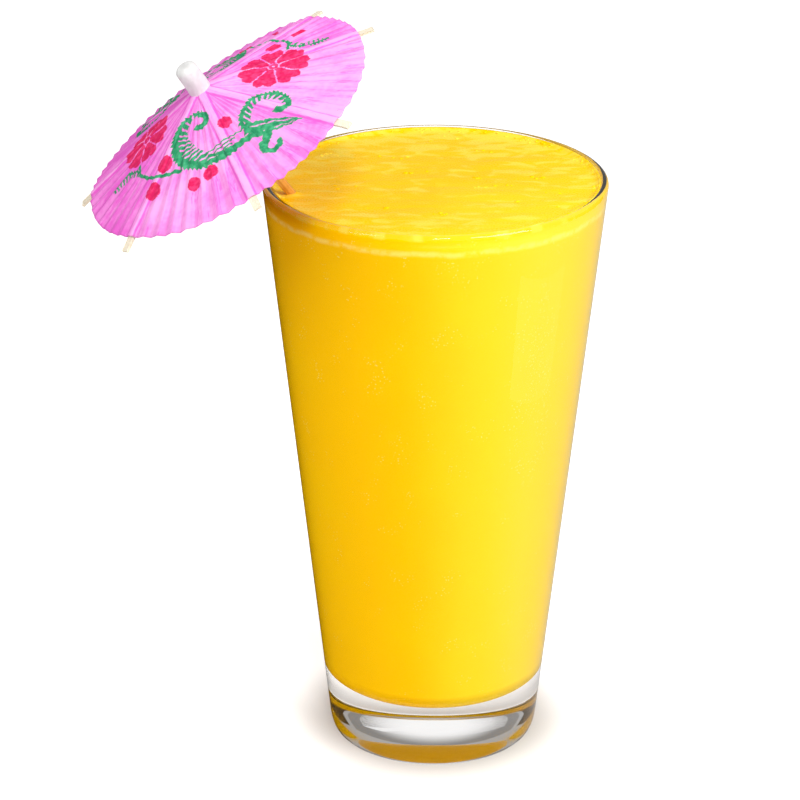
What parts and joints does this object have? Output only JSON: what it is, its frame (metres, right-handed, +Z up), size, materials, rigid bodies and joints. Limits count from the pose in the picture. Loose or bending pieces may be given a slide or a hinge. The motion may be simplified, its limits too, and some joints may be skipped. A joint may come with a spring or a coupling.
{
  "type": "mango smoothie",
  "caption": "Mango smoothie in a tall conical glass with a thick clear base, with a printed pink paper parasol stuck into the drink.",
  "frame": {"origin": "centre of the glass's flat foot, on the surface it stands on", "axes": "+Z up along the glass's axis, +X to the viewer's right, -Y towards the viewer; the parasol leans towards -X and -Y"},
  "size_m": [0.1335, 0.1033, 0.1986],
  "materials": {
    "clear_glass": "clear, polished, colourless",
    "mango_smoothie": "thick opaque fruit drink with a wet surface, fine bubbles and pulp; gloss plastic stands in for a food",
    "tissue_paper": "thin pleated paper, pink, printed with red flowers and green fern leaves",
    "bamboo": "pale split bamboo, unfinished",
    "pale_wood": "pale turned wood, unfinished",
    "stained_wood": "orange-brown round stick, satin",
    "white_cap": "matte white"
  },
  "bodies": {
    "root": {"glass": "clear_glass", "smoothie": "mango_smoothie", "parasol_stick": "stained_wood", "parasol_canopy": "tissue_paper", "parasol_cap": "white_cap", "parasol_hub": "pale_wood", "parasol_runner": "pale_wood", "parasol_keeper": "white_cap", "parasol_rib_1": "bamboo", "parasol_rib_2": "bamboo", "parasol_rib_3": "bamboo", "parasol_rib_4": "bamboo", "parasol_rib_5": "bamboo", "parasol_rib_6": "bamboo", "parasol_rib_7": "bamboo", "parasol_rib_8": "bamboo", "parasol_strut_1": "bamboo", "parasol_strut_2": "bamboo", "parasol_strut_3": "bamboo", "parasol_strut_4": "bamboo", "parasol_strut_5": "bamboo", "parasol_strut_6": "bamboo", "parasol_strut_7": "bamboo", "parasol_strut_8": "bamboo"}
  },
  "joints": []
}
